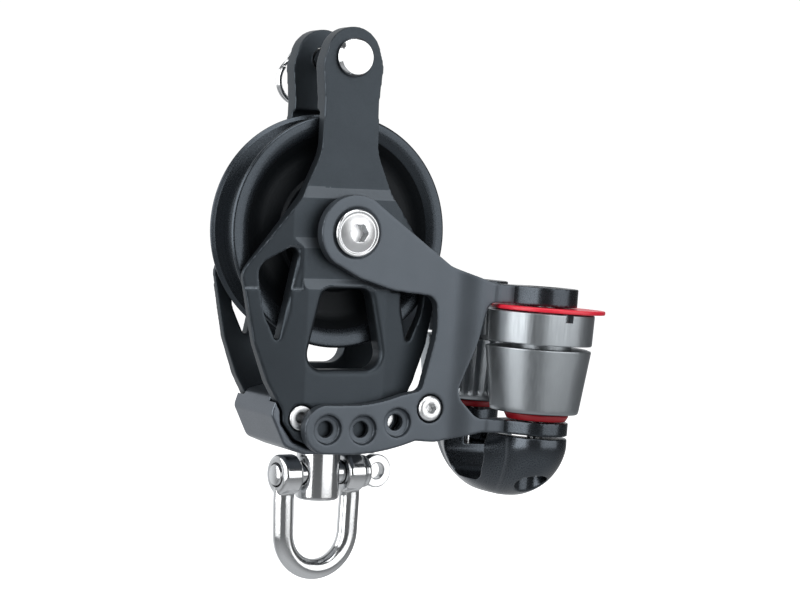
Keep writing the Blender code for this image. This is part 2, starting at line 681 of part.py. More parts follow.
def make_swivel_nut():
    bore, (low, high) = POST_NECK_R + 0.9, SWIVEL_NUT_Z
    return turned([(bore, low), (SWIVEL_NUT_R, low), (SWIVEL_NUT_R, high), (bore, high)], 6, hollow=True)


def make_shackle_bow():
    """Bent bar with a drilled eye at each end."""
    eye_x = BOW_HALF_GAP + BOW_WIRE_R
    bend_z = BOW_BOTTOM_Z + eye_x
    path = [(-eye_x, 0, SHACKLE_Z)]
    path += [(-eye_x - 0.25, 0, SHACKLE_Z - 7), (-eye_x, 0, bend_z)]
    path += [(x, 0, z) for x, z in arc((0, bend_z), eye_x, 180, 360, 12)[1:]]
    path += [(eye_x + 0.25, 0, SHACKLE_Z - 7), (eye_x, 0, SHACKLE_Z)]
    body = tube(path, BOW_WIRE_R, 10)
    for side in (-1, 1):
        outer, inner = side * (BOW_HALF_GAP + 2 * BOW_WIRE_R), side * BOW_HALF_GAP
        low, high = min(outer, inner), max(outer, inner)
        join(body, cylinder(BOW_EYE_R, low, high, 18, axis="X", centre=(0, 0, SHACKLE_Z)))
    return cut(body, cylinder(SHACKLE_PIN_R + GAP, -20, 20, 16, axis="X", centre=(0, 0, SHACKLE_Z)))


def make_shackle_pin():
    """Pin with a round drilled tab outside the far eye."""
    outside = BOW_HALF_GAP + 2 * BOW_WIRE_R + GAP
    profile = [(0, -outside - 0.4), (2.4, -outside - 0.4), (SHACKLE_PIN_R, -outside + 0.3),
               (SHACKLE_PIN_R, outside), (4.4, outside), (4.4, outside + 1.4), (0, outside + 1.4)]
    body = turned(profile, 24, axis="X", centre=(0, 0, SHACKLE_Z))
    tab_x = outside + 5.0
    tab = arc((tab_x, SHACKLE_Z), 4.5, -120, 120, 12)
    tab += [(outside + 0.4, SHACKLE_Z + 2.6), (outside + 0.4, SHACKLE_Z - 2.6)]
    join(body, plate(tab, -1.3, 1.3))
    return cut(body, cylinder(2.1, -5, 5, 16, axis="Y", centre=(tab_x, 0, SHACKLE_Z)))


# ---------------------------------------------------------------- assembly


def pair(body, near_name, far_name, spec, pivot, parent):
    """A piece on the near side and its mirror image on the far side."""
    twin = mirror_y(body)
    finish(body, near_name, spec, pivot, parent)
    finish(twin, far_name, spec, (pivot[0], -pivot[1], pivot[2]), parent)


def build():
    clear_scene()
    block = empty("block_frame", location=(0, 0, -BECKET_Z))
    arms = empty("arm_frame", rotation=(0, ARM_LEAN, 0), parent=block)
    swivel = empty("swivel_frame", rotation=(0, 0, SWIVEL_TURN), parent=block)

    pair(make_cheek(), "near_cheek", "far_cheek", ANODISED, (0, 0, 0), block)
    finish(make_head_block(), "head_block", HEAD_GREY, (0, 0, 0), block)
    bush = make_head_bush()
    twin = bush.copy()
    twin.data = bush.data.copy()
    twin.data.transform(Matrix.Translation((-2 * HEAD_BUSH_X, 0, 0)))
    bpy.context.scene.collection.objects.link(twin)
    finish(bush, "head_bush_right", STAINLESS, (0, 0, 0), block)
    finish(twin, "head_bush_left", STAINLESS, (0, 0, 0), block)

    finish(make_sheave(), "sheave", SHEAVE_DARK, (0, 0, 0), block)
    finish(make_inner_race(), "inner_race", STAINLESS, (0, 0, 0), block)
    finish(make_ball_race(1), "ball_race_near", BALL_WHITE, (0, 0, 0), block)
    finish(make_ball_race(-1), "ball_race_far", BALL_WHITE, (0, 0, 0), block)
    finish(make_centre_bolt(), "centre_bolt", STAINLESS, (0, 0, 0), block)
    finish(make_centre_nut(), "centre_nut", STAINLESS, (0, 0, 0), block)

    finish(make_becket_pin(), "becket_pin", STAINLESS, (0, 0, BECKET_Z), block)
    finish(make_split_ring(), "split_ring", STAINLESS, (0, RING_Y, BECKET_Z), block)

    pair(make_arm(), "near_arm", "far_arm", ANODISED, (0, 0, 0), arms)
    finish(make_tie_bolt(), "tie_bolt", STAINLESS, (0, 0, 0), arms)
    finish(make_tie_nut(), "tie_nut", STAINLESS, (0, 0, 0), arms)
    finish(make_tie_spacer(), "tie_spacer", STAINLESS, (0, 0, 0), arms)

    pivot = (CLEAT_X, -CLEAT_Y, 0)
    pair(make_cam(), "near_cam", "far_cam", CAM_GREY, pivot, arms)
    pair(make_cam_cap(), "near_cam_cap", "far_cam_cap", RED_PLASTIC, pivot, arms)
    pair(make_cam_washer(), "near_cam_washer", "far_cam_washer", RED_PLASTIC, pivot, arms)
    pair(make_cam_bush(), "near_cam_bush", "far_cam_bush", BALL_WHITE, pivot, arms)
    pair(make_cam_spring(), "near_cam_spring", "far_cam_spring", STAINLESS, pivot, arms)
    pair(make_cam_pivot(), "near_cam_pivot", "far_cam_pivot", STAINLESS, pivot, arms)
    pair(make_fairlead_screw(), "near_fairlead_screw", "far_fairlead_screw", STAINLESS, pivot, arms)
    finish(make_fairlead(), "fairlead", FAIRLEAD_BLACK, (0, 0, 0), arms)

    finish(make_swivel_post(), "swivel_post", STAINLESS, (0, 0, 0), swivel)
    finish(make_swivel_nut(), "swivel_nut", STAINLESS, (0, 0, 0), swivel)
    finish(make_shackle_bow(), "shackle_bow", STAINLESS, (0, 0, SHACKLE_Z), swivel)
    finish(make_shackle_pin(), "shackle_pin", STAINLESS, (0, 0, SHACKLE_Z), swivel)


build()
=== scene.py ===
"""Looks of the sheave block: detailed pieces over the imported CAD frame, materials, light and camera."""
import math

import bmesh
import bpy
from mathutils import Matrix, Vector


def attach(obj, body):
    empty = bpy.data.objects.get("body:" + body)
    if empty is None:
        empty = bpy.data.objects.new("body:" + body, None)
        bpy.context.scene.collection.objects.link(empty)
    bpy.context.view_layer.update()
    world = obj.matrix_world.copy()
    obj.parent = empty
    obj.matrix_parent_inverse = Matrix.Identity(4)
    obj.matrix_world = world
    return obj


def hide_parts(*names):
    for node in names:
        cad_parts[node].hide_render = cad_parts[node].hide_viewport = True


MM = 0.001
GAP = 0.3

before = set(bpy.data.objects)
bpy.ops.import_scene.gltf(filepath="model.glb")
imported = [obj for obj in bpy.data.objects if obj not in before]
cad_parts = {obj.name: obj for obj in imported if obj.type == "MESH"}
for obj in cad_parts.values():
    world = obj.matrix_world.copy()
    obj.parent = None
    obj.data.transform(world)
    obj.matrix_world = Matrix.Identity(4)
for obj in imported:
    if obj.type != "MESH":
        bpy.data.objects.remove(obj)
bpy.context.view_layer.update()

# The CAD's own sizes, in millimetres about the sheave's axis.
BECKET_Z = 45.0
ARM_LEAN = math.radians(2.2)
SWIVEL_TURN = math.radians(8.0)
BLOCK = Matrix.Translation((0, 0, -BECKET_Z * MM))
ARMS = BLOCK @ Matrix.Rotation(ARM_LEAN, 4, "Y")
SWIVEL = BLOCK @ Matrix.Rotation(SWIVEL_TURN, 4, "Z")

CHEEK_INNER, CHEEK_FACE, CHEEK_EDGE = 8.6, 13.9, 10.8
EAR_INNER, EAR_OUTER, EAR_POCKET_Z, EAR_TOP_Z = 6.8, 12.0, 32.0, 52.9
SPINE_HALF_WIDTH = 11.0
HEAD_TOP_Z, HEAD_BOTTOM_Z, HEAD_HALF_WIDTH = -41.0, -57.6, 12.6
HEAD_BUSH_X, HEAD_BUSH_Z = 11.6, -48.0
HEAD_BUSH_HOLE_R, HEAD_BUSH_RECESS_R = 2.6, 3.6
AXLE_R, BOLT_HEAD_R, BOLT_SOCKET_R = 4.9, 6.1, 2.55
SHEAVE_R, SHEAVE_BORE_R, GROOVE_R, LINE_R = 30.4, 12.2, 23.0, 6.0
BECKET_PIN_R, BECKET_HEAD_R, BECKET_HEAD, BECKET_PIN_END = 3.0, 5.1, 1.7, 25.4
RING_Y, RING_R, RING_WIRE_R, RING_HOLE_R, RING_LIFT = 22.4, 6.1, 0.55, 1.8, 0.8
ARM_INNER, ARM_OUTER, ARM_HUB_R = 14.5, 17.8, 9.8
STRAP_IN_R, STRAP_OUT_R = 44.4, 57.2
STRAP_HOLE_R, STRAP_HOLE_ANGLES = 51.0, (-4.4, 6.9, 18.2, 29.5)
TIE_R, TIE_HEAD_R, TIE_SEAT_Y = 1.8, 3.4, 16.6
CLEAT_X, CLEAT_Y = 56.6, 19.0
LUG_R = 8.7
TOP_LUG_Z, LOW_LUG_Z = (-15.6, -10.6), (-50.0, -46.4)
CAM_TOP_Z, CAM_SLOT_Z, CAM_LOW_Z = -17.3, (-26.9, -25.6), -44.0
CAM_NOSE_R, CAM_THROAT_R, CAM_TAIL_R, CAM_BACK_R = 20.4, 13.9, 15.4, 13.4
CAM_BORE_R, CAM_PIVOT_R, CAM_TOOTH = 4.6, 2.9, 1.4
CAM_POCKET_R, CAM_POCKET = 9.0, 4.6
CAP_R, CAP_BULGE = 14.15, 2.2
FAIRLEAD_TOP_Z, LEG_FLOOR_Z, LEG_SEAT_Z = -50.6, -56.4, -58.8
LEG_SCREW_R, LEG_SCREW_HEAD_R = 2.0, 3.7
POST_R, POST_NECK_R, POST_BOTTOM_Z = 5.8, 4.1, -71.0
SHACKLE_Z, SHACKLE_PIN_R = -64.2, 3.0
BOW_WIRE_R, BOW_HALF_GAP, BOW_EYE_R, BOW_BOTTOM_Z = 2.85, 7.2, 5.3, -89.8


# ---------------------------------------------------------------- materials


def surface(name, colour, roughness, metallic=0.0, grain=(1, 1, 1), size=1.0, bump=0.02, mottle=0.12,
            spread=0.08, specular=0.5, rings=False):
    """A Principled material whose colour, roughness and height vary with noise of about `size` mm."""
    made = bpy.data.materials.new(name)
    made.use_nodes = True
    nodes, links = made.node_tree.nodes, made.node_tree.links
    shader = nodes["Principled BSDF"]
    shader.inputs["Metallic"].default_value = metallic
    shader.inputs["Specular IOR Level"].default_value = specular
    spot = nodes.new("ShaderNodeTexCoord")
    scaled = nodes.new("ShaderNodeMapping")
    scaled.inputs["Scale"].default_value = [g / (MM * size) for g in grain]
    links.new(spot.outputs["Object"], scaled.inputs["Vector"])
    fine = nodes.new("ShaderNodeTexNoise")
    fine.inputs["Scale"].default_value = 1.0
    fine.inputs["Detail"].default_value = 5.0
    links.new(scaled.outputs["Vector"], fine.inputs["Vector"])
    broad = nodes.new("ShaderNodeTexNoise")
    broad.inputs["Scale"].default_value = 110.0
    broad.inputs["Detail"].default_value = 3.0
    links.new(spot.outputs["Object"], broad.inputs["Vector"])
    tint = nodes.new("ShaderNodeMix")
    tint.data_type = "RGBA"
    tint.inputs[6].default_value = (*[c * (1 - mottle) for c in colour], 1)
    tint.inputs[7].default_value = (*[min(1.0, c * (1 + mottle)) for c in colour], 1)
    links.new(broad.outputs["Fac"], tint.inputs[0])
    links.new(tint.outputs[2], shader.inputs["Base Color"])
    gloss = nodes.new("ShaderNodeMapRange")
    gloss.inputs["From Min"].default_value, gloss.inputs["From Max"].default_value = 0.3, 0.7
    gloss.inputs["To Min"].default_value = max(0.02, roughness - spread)
    gloss.inputs["To Max"].default_value = roughness + spread
    links.new(fine.outputs["Fac"], gloss.inputs["Value"])
    links.new(gloss.outputs["Result"], shader.inputs["Roughness"])
    height = nodes.new("ShaderNodeBump")
    height.inputs["Strength"].default_value = 1.0
    height.inputs["Distance"].default_value = bump * MM
    links.new(fine.outputs["Fac"], height.inputs["Height"])
    if rings:
        turning = nodes.new("ShaderNodeTexWave")
        turning.wave_type = "RINGS"
        turning.rings_direction = "Y"
        turning.inputs["Scale"].default_value = 0.35 / MM
        turning.inputs["Distortion"].default_value = 0.4
        links.new(spot.outputs["Object"], turning.inputs["Vector"])
        lines = nodes.new("ShaderNodeBump")
        lines.inputs["Distance"].default_value = 0.006 * MM
        links.new(turning.outputs["Fac"], lines.inputs["Height"])
        links.new(height.outputs["Normal"], lines.inputs["Normal"])
        height = lines
    links.new(height.outputs["Normal"], shader.inputs["Normal"])
    return made


CHEEK = surface("cheek_anodised", (0.044, 0.053, 0.062), 0.44, 0.85, size=0.22, bump=0.012)
# Painted highlight: a lighter copy of the cheek's anodising for the face's sloping bands, which catch more
# light.
CHEEK_BAND_HIGHLIGHT = surface("cheek_band_painted_highlight", (0.085, 0.097, 0.11), 0.42, 0.85, size=0.22, bump=0.012)
ARM = surface("arm_anodised", (0.092, 0.106, 0.122), 0.42, 0.85, size=0.22, bump=0.012)
ARM_LUG = surface("lug_anodised", (0.055, 0.064, 0.074), 0.26, 0.9, size=0.25, bump=0.008)
HEAD = surface("head_anodised", (0.115, 0.13, 0.15), 0.36, 0.9, size=0.25, bump=0.012)
SHEAVE = surface("sheave_anodised", (0.050, 0.059, 0.069), 0.3, 0.85, size=0.3, bump=0.01, rings=True)
# Painted shade: a near-black, duller copy of the sheave's anodising for the recessed dishes, where shade
# falls.
SHEAVE_DISH_SHADE = surface("sheave_dish_painted_shade", (0.006, 0.008, 0.010), 0.5, 0.4, size=0.3, bump=0.015, specular=0.25,
                     rings=True)
CAM = surface("cam_metal", (0.34, 0.365, 0.385), 0.40, 1.0, grain=(1, 1, 0.03), size=0.35, bump=0.018)
RED = surface("red_plastic", (0.74, 0.02, 0.045), 0.34, size=0.5, bump=0.01, mottle=0.06)
RED_DARK = surface("red_washer", (0.34, 0.008, 0.016), 0.42, size=0.5, bump=0.01, mottle=0.06)
FAIRLEAD = surface("fairlead_anodised", (0.070, 0.080, 0.092), 0.26, 0.9, size=0.3, bump=0.008)
STEEL = surface("polished_steel", (0.68, 0.69, 0.70), 0.17, 1.0, size=0.4, bump=0.004, mottle=0.04,
                spread=0.04)
SATIN_STEEL = surface("satin_steel", (0.80, 0.81, 0.82), 0.36, 1.0, size=0.3, bump=0.01, mottle=0.05)
WHITE_PLASTIC = surface("bearing_plastic", (0.72, 0.71, 0.67), 0.45, size=0.6, bump=0.01, mottle=0.05)


# ---------------------------------------------------------------- outlines


def arc(centre, radius, start, end, steps):
    """Points on an arc, with the angles in degrees from +X."""
    turns = [math.radians(start + (end - start) * i / steps) for i in range(steps + 1)]
    return [(centre[0] + radius * math.cos(t), centre[1] + radius * math.sin(t)) for t in turns]


def circle(centre, radius, steps):
    """Points on a full circle, from the first axis round."""
    return arc(centre, radius, 0, 360 * (steps - 1) / steps, steps - 1)


def rounded(corners, steps=8):
    """A closed outline from (u, v, radius) corners, with each corner turned into an arc."""
    outline = []
    count = len(corners)
    for i, (u, v, radius) in enumerate(corners):
        here = Vector((u, v))
        if radius <= 0:
            outline.append((u, v))
            continue
        back = (Vector(corners[i - 1][:2]) - here).normalized()
        ahead = (Vector(corners[(i + 1) % count][:2]) - here).normalized()
        half = back.angle(ahead) / 2
        reach = radius / math.tan(half)
        centre = here + (back + ahead).normalized() * (radius / math.sin(half))
        start = here + back * reach - centre
        turn = start.angle_signed(here + ahead * reach - centre)
        for k in range(steps + 1):
            spot = centre + Matrix.Rotation(-turn * k / steps, 2) @ start
            outline.append((spot.x, spot.y))
    return outline


def mirrored(half):
    """A whole outline from its +U half, given from the bottom up."""
    return half + [(-u, v, *rest) for u, v, *rest in reversed(half)]


def bezier(start, start_pull, end_pull, end, steps):
    """Points on a cubic curve between start and end."""
    points = []
    for i in range(steps + 1):
        t = i / steps
        weights = ((1 - t) ** 3, 3 * t * (1 - t) ** 2, 3 * t * t * (1 - t), t ** 3)
        points.append(tuple(sum(w * p[k] for w, p in zip(weights, (start, start_pull, end_pull, end)))
                            for k in range(2)))
    return points


def smoothed(rows, steps):
    """More rows between the given ones, on a Catmull-Rom curve."""
    made = []
    last = len(rows) - 1
    for i in range(last):
        before, here, after, beyond = rows[max(0, i - 1)], rows[i], rows[i + 1], rows[min(last, i + 2)]
        for k in range(steps):
            t = k / steps
            made.append(tuple(
                0.5 * (2 * b + (c - a) * t + (2 * a - 5 * b + 4 * c - d) * t * t
                       + (3 * b - a - 3 * c + d) * t ** 3)
                for a, b, c, d in zip(before, here, after, beyond)))
    return made + [tuple(rows[-1])]


def grown(outline, distance):
    """An outline pushed outwards by a distance."""
    points = [Vector(p) for p in outline]
    count = len(points)
    area = sum(points[i - 1].x * points[i].y - points[i].x * points[i - 1].y for i in range(count))
    sign = 1 if area > 0 else -1
    made = []
    for i, here in enumerate(points):
        back, ahead = (here - points[i - 1]).normalized(), (points[(i + 1) % count] - here).normalized()
        normal = Vector((back.y + ahead.y, -back.x - ahead.x))
        if normal.length < 1e-6:
            normal = Vector((back.y, -back.x))
        normal.normalize()
        stretch = max(0.5, normal.dot(Vector((back.y, -back.x))))
        made.append(tuple(here + normal * (sign * distance / stretch)))
    return made


# ---------------------------------------------------------------- solids


def solid(bm):
    """A bare mesh object from a bmesh, with its faces turned out."""
    bmesh.ops.remove_doubles(bm, verts=bm.verts, dist=1e-4)
    bmesh.ops.recalc_face_normals(bm, faces=bm.faces)
    mesh = bpy.data.meshes.new("solid")
    bm.to_mesh(mesh)
    bm.free()
    made = bpy.data.objects.new("solid", mesh)
    bpy.context.scene.collection.objects.link(made)
    return made


def loft(rings):
    """A skin over rings of equally many points, capped at both ends."""
    bm = bmesh.new()
    rows = [[bm.verts.new(point) for point in ring] for ring in rings]
    for low, high in zip(rows, rows[1:]):
        for i in range(len(low)):
            j = (i + 1) % len(low)
            bm.faces.new((low[i], low[j], high[j], high[i]))
    bm.faces.new(reversed(rows[0]))
    bm.faces.new(rows[-1])
    return solid(bm)


AXES = {
    "X": lambda u, v, w: (w, u, v),
    "Y": lambda u, v, w: (u, w, v),
    "Z": lambda u, v, w: (u, v, w),
}


def plate(outline, start, end, axis="Y"):
    """An outline pulled from start to end along the named axis."""
    return loft([[AXES[axis](u, v, level) for u, v in outline] for level in (start, end)])


def flared(outline, face, floor, lip, axis="Y", steps=6):
    """A cutter through a wall from its face to its floor, opening out at the face with a round lip."""
    inward = 1 if floor > face else -1
    levels = [(lip + 0.4, face - inward * 0.4)]
    for k in range(steps + 1):
        turn = math.pi / 2 * k / steps
        levels.append((lip * (1 - math.sin(turn)), face + inward * lip * (1 - math.cos(turn))))
    levels.append((0, floor))
    return loft([[AXES[axis](u, v, level) for u, v in grown(outline, out)] for out, level in levels])


def turned(profile, steps, axis="Z", centre=(0, 0, 0), hollow=False):
    """A profile of (radius, height) turned about an axis. Ends at radius 0 close on the axis."""
    bm = bmesh.new()
    rings = []
    for radius, height in profile:
        if radius <= 1e-6:
            rings.append([bm.verts.new((0, 0, height))] * steps)
            continue
        rings.append([bm.verts.new((u, v, height)) for u, v in circle((0, 0), radius, steps)])
    pairs = list(zip(rings, rings[1:]))
    if hollow:
        pairs.append((rings[-1], rings[0]))
    for low, high in pairs:
        for i in range(steps):
            j = (i + 1) % steps
            corners = list(dict.fromkeys((low[i], low[j], high[j], high[i])))
            if len(corners) > 2:
                bm.faces.new(corners)
    made = solid(bm)
    if axis == "Y":
        made.data.transform(Matrix.Rotation(math.pi / 2, 4, "X"))
    elif axis == "X":
        made.data.transform(Matrix.Rotation(math.pi / 2, 4, "Y"))
    made.data.transform(Matrix.Translation(centre))
    return made


def cylinder(radius, start, end, steps=48, axis="Z", centre=(0, 0, 0)):
    """A plain round bar. Along Y, start and end are distances towards -Y."""
    return turned([(0, start), (radius, start), (radius, end), (0, end)], steps, axis, centre)


def tube(path, radius, sides):
    """A round wire along a path, its section carried along without twisting."""
    spots = [Vector(point) for point in path]
    rings = []
    side = None
    for i, spot in enumerate(spots):
        along = (spots[min(i + 1, len(spots) - 1)] - spots[max(i - 1, 0)]).normalized()
        if side is None:
            side = along.orthogonal().normalized()
        side = (side - along * side.dot(along)).normalized()
        up = along.cross(side)
        rings.append([tuple(spot + side * (radius * math.cos(t)) + up * (radius * math.sin(t)))
                      for t in (2 * math.pi * k / sides for k in range(sides))])
    return loft(rings)


def baked(body):
    """Applies every modifier of a bare solid."""
    depsgraph = bpy.context.evaluated_depsgraph_get()
    result = bpy.data.meshes.new_from_object(body.evaluated_get(depsgraph))
    body.modifiers.clear()
    body.data = result
    return body


def combine(first, second, operation):
    """Boolean of two bare solids. The second one is used up."""
    modifier = first.modifiers.new("boolean", "BOOLEAN")
    modifier.operation = operation
    modifier.object = second
    baked(first)
    bpy.data.objects.remove(second, do_unlink=True)
    return first


def cut(body, *cutters):
    """Takes the cutters out of the body."""
    for cutter in cutters:
        combine(body, cutter, "DIFFERENCE")
    return body


def join(body, *others):
    """Makes the body and the others one solid."""
    for other in others:
        combine(body, other, "UNION")
    return body


def eased_edges(body, width, segments=3, angle=32):
    """Rounds every edge sharper than the angle. The rounded strip takes the second material."""
    bm = bmesh.new()
    bm.from_mesh(body.data)
    bmesh.ops.remove_doubles(bm, verts=bm.verts, dist=0.004)
    bmesh.ops.dissolve_degenerate(bm, edges=bm.edges, dist=0.004)
    bm.to_mesh(body.data)
    bm.free()
    bevel = body.modifiers.new("bevel", "BEVEL")
    bevel.width = width
    bevel.segments = segments
    bevel.limit_method = "ANGLE"
    bevel.angle_limit = math.radians(angle)
    bevel.use_clamp_overlap = False
    bevel.miter_outer = "MITER_ARC"
    bevel.material = 1
    return body


def forged(body, voxel=0.3, rounds=4):
    """One soft-edged skin over the whole solid, as forging and blasting leave it."""
    remesh = body.modifiers.new("remesh", "REMESH")
    remesh.mode = "VOXEL"
    remesh.voxel_size = voxel
    smooth = body.modifiers.new("smooth", "SMOOTH")
    smooth.factor, smooth.iterations = 0.5, rounds
    return baked(body)


def second_paint(body, chosen):
    """Gives the second material to the faces that the test picks by centre and normal."""
    for face in body.data.polygons:
        if chosen(face.center, face.normal):
            face.material_index = 1
    return body


def mirror_y(body):
    """The same solid reflected to the other side of the middle plane."""
    twin = body.copy()
    twin.data = body.data.copy()
    bpy.context.scene.collection.objects.link(twin)
    twin.data.transform(Matrix.Diagonal((1, -1, 1, 1)))
    twin.data.flip_normals()
    return twin


def place(body, name, where, rides_on, paints, nodes, smooth=35):
    """Names a piece, brings it to metres, paints it, and lets it stand for its CAD nodes."""
    paints = paints if isinstance(paints, tuple) else (paints, paints)
    body.name = body.data.name = name
    for paint in paints:
        body.data.materials.append(paint)
    if body.modifiers:
        baked(body)
    body.data.transform(Matrix.Scale(MM, 4))
    body.data.shade_smooth()
    body.data.set_sharp_from_angle(angle=math.radians(smooth))
    normals = body.modifiers.new("normals", "WEIGHTED_NORMAL")
    normals.keep_sharp = True
    body.matrix_world = where
    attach(body, rides_on)
    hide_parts(*nodes)
    return body


def place_pair(body, kind, where, bodies, paints, smooth=35):
    """A near piece and its mirror image on the far side, for the nodes near_KIND and far_KIND."""
    twin = mirror_y(body)
    place(body, f"near_{kind}_skin", where, bodies[0], paints, [f"near_{kind}"], smooth)
    place(twin, f"far_{kind}_skin", where, bodies[1], paints, [f"far_{kind}"], smooth)


# ---------------------------------------------------------------- cheeks and head


def cheek_outline():
    """Ear, neck, shoulders and the foot that sits in the head block, from the bottom up."""
    foot = [(9.0, -55.2, 0.6), (13.0, -53.6, 2.0), (16.4, -49.2, 1.5), (16.6, -46.2, 1.5)]
    flank = [(20.8, -39.0, 6), (24.6, -29.0, 14), (28.3, -11.0, 4.5), (13.0, 9.0, 12)]
    ear = [(8.0, 20.5, 14), (7.7, 34.0, 0)]
    shape = rounded(mirrored(foot + flank + ear))
    middle = len(shape) // 2
    half = bezier((8.4, 41.2), (8.55, 42.4), (8.5, 43.4), (8.2, 44.4), 6)
    half += arc((0, EAR_TOP_Z - 7.6), 7.6, 20, 90, 16)
    return shape[:middle] + half + [(-u, v) for u, v in reversed(half[:-1])] + shape[middle:]


def make_cheek():
    """Stepped face, tapered flanks, and windows with round lips."""
    body = plate(cheek_outline(), -CHEEK_FACE, -EAR_INNER)
    reach = 40.0
    drop = (CHEEK_FACE - CHEEK_EDGE) / (28.0 - SPINE_HALF_WIDTH) * (reach - SPINE_HALF_WIDTH)
    for side in (-1, 1):
        for start, face, low, high in ((SPINE_HALF_WIDTH, CHEEK_FACE, -70, -13),
                                       (SPINE_HALF_WIDTH + 1.5, CHEEK_FACE - 0.7, -15.2, 13)):
            wedge = [(side * start, -face), (side * reach, -face + drop),
                     (side * reach, -CHEEK_FACE - 2), (side * start, -CHEEK_FACE - 2)]
            cut(body, plate(wedge, low, high, axis="Z"))
    upper, middle = -12.65, -13.3
    steps = [(-EAR_OUTER, 60), (-EAR_OUTER, 11.3), (upper, 8.7), (upper, -1.7), (middle, -4.3),
             (middle, -12.3), (-CHEEK_FACE, -14.9), (-20, -14.9), (-20, 60)]
    cut(body, plate(steps, -reach, reach, axis="X"))
    pocket = [(-CHEEK_INNER, -60), (-CHEEK_INNER, EAR_POCKET_Z - 1.4), (-EAR_INNER + 1, EAR_POCKET_Z),
              (0, EAR_POCKET_Z), (0, -60)]
    cut(body, plate(pocket, -reach, reach, axis="X"))
    centre = rounded(mirrored([(11.4, -35.6, 4.2), (6.6, -14.6, 3.0)]))
    cut(body, flared(centre, -CHEEK_FACE, 0, 1.5))
    for side in (-1, 1):
        corners = [(13.0, -2.6, 1.8), (18.5, -29.6, 0.7), (22.6, -21.0, 8), (24.2, -9.0, 4.5)]
        cut(body, flared(rounded([(side * u, v, r) for u, v, r in corners]), -12.6, 0, 0.5))
    cut(body, cylinder(AXLE_R + GAP, 0, 20, axis="Y"))
    cut(body, cylinder(BECKET_PIN_R + GAP, 0, 20, axis="Y", centre=(0, 0, BECKET_Z)))
    for side in (-1, 1):
        spot = (side * HEAD_BUSH_X, 0, HEAD_BUSH_Z)
        cut(body, cylinder(HEAD_BUSH_HOLE_R, 0, 20, axis="Y", centre=spot))
        cut(body, cylinder(HEAD_BUSH_RECESS_R, CHEEK_FACE - 1.1, 20, axis="Y", centre=spot))
    def on_highlight_band(centre, normal):
        """The three sloping bands across the face, which catch more light; they take the lighter second
        material as a painted highlight.
        """
        return normal.y < -0.6 and abs(normal.z) > 0.09 and any(
            low < centre.z < high for low, high in ((8.4, 11.6), (-4.5, -1.5), (-15.1, -12.1)))

    # The sloping bands are painted lighter: a painted highlight.
    return second_paint(forged(body), on_highlight_band)


def make_head_block():
    """Holds the swivel post, with lips that wrap the cheeks' feet."""
    half = [(10.0, HEAD_BOTTOM_Z, 3), (15.6, -55.4, 2.5), (19.6, -47.2, 2.0), (18.0, -42.4, 2.5),
            (12.0, HEAD_TOP_Z, 2.0)]
    body = plate(rounded(mirrored(half)), -HEAD_HALF_WIDTH, HEAD_HALF_WIDTH)
    foot = mirrored([(9.2, -55.8), (13.4, -54.1), (16.9, -49.5), (17.1, -46.3), (21.6, -38.6), (24, -30)])
    for side in (-1, 1):
        cut(body, plate(foot, side * (CHEEK_INNER - GAP), side * 20))
    bore, nut_pocket, shoulder = POST_NECK_R + GAP, 7.2, -51.5
    cut(body, turned([(0, -60), (bore, -60), (bore, shoulder), (nut_pocket, shoulder), (nut_pocket, -35),
                      (0, -35)], 48))
    for side in (-1, 1):
        spot = (side * HEAD_BUSH_X, 0, HEAD_BUSH_Z)
        cut(body, cylinder(HEAD_BUSH_HOLE_R, -20, 20, axis="Y", centre=spot))
    return forged(body, 0.25, 10)


def make_head_bush(side):
    """A flanged tube through both cheeks and the head block."""
    bore, outside, flange_r = 1.5, 2.3, 3.2
    seat, face = CHEEK_FACE - 0.8, CHEEK_FACE - 0.1
    half = rounded([(outside, 0, 0), (outside, seat, 0), (flange_r, seat, 0.1), (flange_r, face, 0.3),
                    (bore, face, 0.3), (bore, 0, 0)], 4)[1:-1]
    profile = half + [(r, -y) for r, y in reversed(half)]
    return turned(profile, 64, axis="Y", centre=(side * HEAD_BUSH_X, 0, HEAD_BUSH_Z), hollow=True)


# ---------------------------------------------------------------- sheave and centre bolt


def make_sheave():
    """Dished sides, lips with narrow rims, and a round groove. The dishes take the second material, darkened
    as painted shade.
    """
    web, rim = 4.2, 7.9
    half = rounded([(SHEAVE_BORE_R, 0, 0), (SHEAVE_BORE_R, 5.0, 0.3), (15.2, 5.0, 0.4), (15.9, web, 0.4),
                    (22.4, web, 5), (27.2, rim, 6), (SHEAVE_R, rim, 0.8), (SHEAVE_R, 6.9, 0.3),
                    (29.4, 6.2, 0.4)], 10)[1:]
    turns = [math.radians(degrees) for degrees in range(66, 0, -6)]
    half += [(GROOVE_R + LINE_R * (1 - math.cos(t)), LINE_R * math.sin(t)) for t in turns]
    profile = half + [(GROOVE_R, 0)] + [(r, -y) for r, y in reversed(half)]
    body = turned(profile, 200, axis="Y", hollow=True)
    dish_r, dish_floor = 25, 3.5
    return second_paint(body, lambda centre, normal: (
        abs(centre.y) > dish_floor and math.hypot(*centre.xz) < dish_r))


def make_centre_bolt():
    """Dome head with a hexagon socket, and a shank through to the far nut."""
    face, far = ARM_OUTER, -ARM_OUTER - 0.4
    head = arc((0, face - 9.7), 11.5, 90, 64, 8)
    head += [(5.6, face + 1.0), (6.0, face + 0.8), (BOLT_HEAD_R, face + 0.55), (BOLT_HEAD_R, face + GAP),
             (AXLE_R, face + GAP), (AXLE_R, far), (0, far)]
    body = turned(head, 96, axis="Y")
    cut(body, plate(circle((0, 0), BOLT_SOCKET_R, 6), -face - 3, -face + 1.2))
    return eased_edges(body, 0.16, 3, 40)


def make_centre_nut():
    """Flat round nut with a hexagon socket on the far arm."""
    face = ARM_OUTER + 0.7
    body = turned([(0, -face), (BOLT_HEAD_R, -face), (6.05, -face - 0.8), (5.7, -face - 1.1),
                   (4.6, -face - 1.3), (0, -face - 1.35)], 96, axis="Y")
    cut(body, plate(circle((0, 0), BOLT_SOCKET_R, 6), face + 0.4, face + 4))
    return eased_edges(body, 0.14, 3, 40)


# ---------------------------------------------------------------- becket


